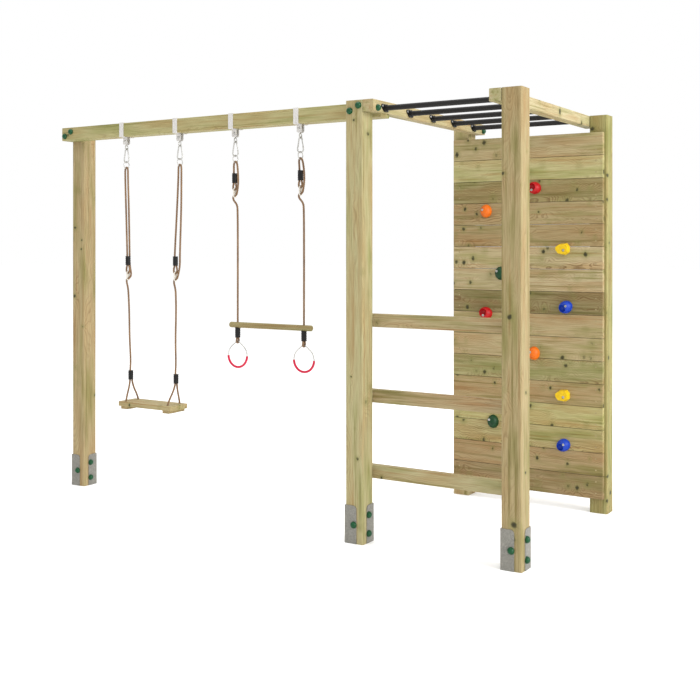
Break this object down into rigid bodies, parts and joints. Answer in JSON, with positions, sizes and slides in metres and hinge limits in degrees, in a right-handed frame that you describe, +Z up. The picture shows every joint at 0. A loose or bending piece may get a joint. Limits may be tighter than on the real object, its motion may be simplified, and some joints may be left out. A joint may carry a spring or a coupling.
{
  "type": "climbing frame",
  "caption": "Timber garden climbing frame with monkey bars, ladder rungs, a slatted climbing wall, a rope swing and a trapeze with gym rings",
  "frame": {"origin": "middle of the footprint, on the ground", "axes": "X runs along the swing beam towards the climbing bay, Y from the ladder to the climbing wall, Z up from the ground"},
  "size_m": [2.936, 1.2704, 2.093],
  "materials": {
    "treated_timber": "planed pressure-treated softwood, matt",
    "seat_timber": "planed softwood, lightly oiled",
    "galvanised_steel": "hot-dip galvanised, dull",
    "zinc_hardware": "bright zinc plated",
    "bar_steel": "dark grey powder-coated tube",
    "rope": "brown laid polypropylene rope",
    "black_plastic": "moulded, satin",
    "adjuster_plastic": "moulded, light grey",
    "green_plastic": "moulded cap, satin",
    "red_resin": "cast resin, fine grain",
    "orange_resin": "cast resin, fine grain",
    "yellow_resin": "cast resin, fine grain",
    "green_resin": "cast resin, fine grain",
    "blue_resin": "cast resin, fine grain",
    "red_grip": "moulded grip, satin",
    "ring_steel": "zinc plated wire"
  },
  "bodies": {
    "frame": {"post_swing": "treated_timber", "post_front_left": "treated_timber", "post_front_right": "treated_timber", "post_back_left": "treated_timber", "post_back_right": "treated_timber", "swing_beam": "treated_timber", "rail_left": "treated_timber", "rail_right": "treated_timber", "wall_boards": "treated_timber", "ladder_rung_1": "treated_timber", "ladder_rung_2": "treated_timber", "ladder_rung_3": "treated_timber", "monkey_bar_1": "bar_steel", "monkey_bar_2": "bar_steel", "monkey_bar_3": "bar_steel", "monkey_bar_4": "bar_steel", "monkey_bar_5": "bar_steel", "bar_sockets": "black_plastic", "bar_socket_screws": "zinc_hardware", "wood_screws": "zinc_hardware", "holds_red": "red_resin", "holds_orange": "orange_resin", "holds_yellow": "yellow_resin", "holds_green": "green_resin", "holds_blue": "blue_resin", "hold_bolts": "zinc_hardware", "hold_t_nuts": "zinc_hardware", "ground_anchors": "galvanised_steel", "frame_bolts": "zinc_hardware", "frame_nuts": "zinc_hardware", "rail_coach_screws": "zinc_hardware", "bolt_caps": "green_plastic", "hanger_straps": "galvanised_steel", "hanger_bolts": "zinc_hardware", "hanger_links": "galvanised_steel"},
    "seat": {"seat_board": "seat_timber", "seat_battens": "seat_timber", "seat_screws": "zinc_hardware", "seat_rope_left": "rope", "seat_rope_right": "rope", "seat_carabiners": "zinc_hardware", "seat_rope_rings": "zinc_hardware", "seat_rope_sleeves": "black_plastic", "seat_rope_adjusters": "adjuster_plastic"},
    "trapeze": {"trapeze_bar": "seat_timber", "trapeze_rope_left": "rope", "trapeze_rope_right": "rope", "trapeze_carabiners": "zinc_hardware", "trapeze_rope_rings": "zinc_hardware", "trapeze_rope_sleeves": "black_plastic", "trapeze_rope_adjusters": "adjuster_plastic"},
    "seat_gate_left_body": {"seat_gate_left": "zinc_hardware"},
    "seat_gate_right_body": {"seat_gate_right": "zinc_hardware"},
    "trapeze_gate_left_body": {"trapeze_gate_left": "zinc_hardware"},
    "trapeze_gate_right_body": {"trapeze_gate_right": "zinc_hardware"},
    "ring_left": {"gym_ring_left": "ring_steel", "ring_grip_left": "red_grip"},
    "ring_right": {"gym_ring_right": "ring_steel", "ring_grip_right": "red_grip"}
  },
  "joints": [
    {"name": "seat_swing", "type": "hinge", "parent": "frame", "child": "seat", "pos_m": [-0.7815, -0.47975, 1.9498], "axis": [1, 0, 0], "range_deg": [-60, 60]},
    {"name": "trapeze_swing", "type": "hinge", "parent": "frame", "child": "trapeze", "pos_m": [0.0005, -0.47975, 1.9498], "axis": [1, 0, 0], "range_deg": [-60, 60]},
    {"name": "ring_left_swing", "type": "hinge", "parent": "trapeze", "child": "ring_left", "pos_m": [-0.1905, -0.47975, 0.9077], "axis": [1, 0, 0], "range_deg": [-75, 75]},
    {"name": "ring_right_swing", "type": "hinge", "parent": "trapeze", "child": "ring_right", "pos_m": [0.2275, -0.47975, 0.9077], "axis": [1, 0, 0], "range_deg": [-75, 75]},
    {"name": "seat_gate_left_hinge", "type": "hinge", "parent": "seat", "child": "seat_gate_left_body", "pos_m": [-0.96175, -0.47975, 1.90081], "axis": [0, -1, 0], "range_deg": [0, 28], "stiffness_Nm_per_rad": 0.3, "springref_deg": -8.59},
    {"name": "seat_gate_right_hinge", "type": "hinge", "parent": "seat", "child": "seat_gate_right_body", "pos_m": [-0.56975, -0.47975, 1.90081], "axis": [0, -1, 0], "range_deg": [0, 28], "stiffness_Nm_per_rad": 0.3, "springref_deg": -8.59},
    {"name": "trapeze_gate_left_hinge", "type": "hinge", "parent": "trapeze", "child": "trapeze_gate_left_body", "pos_m": [-0.18975, -0.47975, 1.90081], "axis": [0, -1, 0], "range_deg": [0, 28], "stiffness_Nm_per_rad": 0.3, "springref_deg": -8.59},
    {"name": "trapeze_gate_right_hinge", "type": "hinge", "parent": "trapeze", "child": "trapeze_gate_right_body", "pos_m": [0.22225, -0.47975, 1.90081], "axis": [0, -1, 0], "range_deg": [0, 28], "stiffness_Nm_per_rad": 0.3, "springref_deg": -8.59}
  ]
}
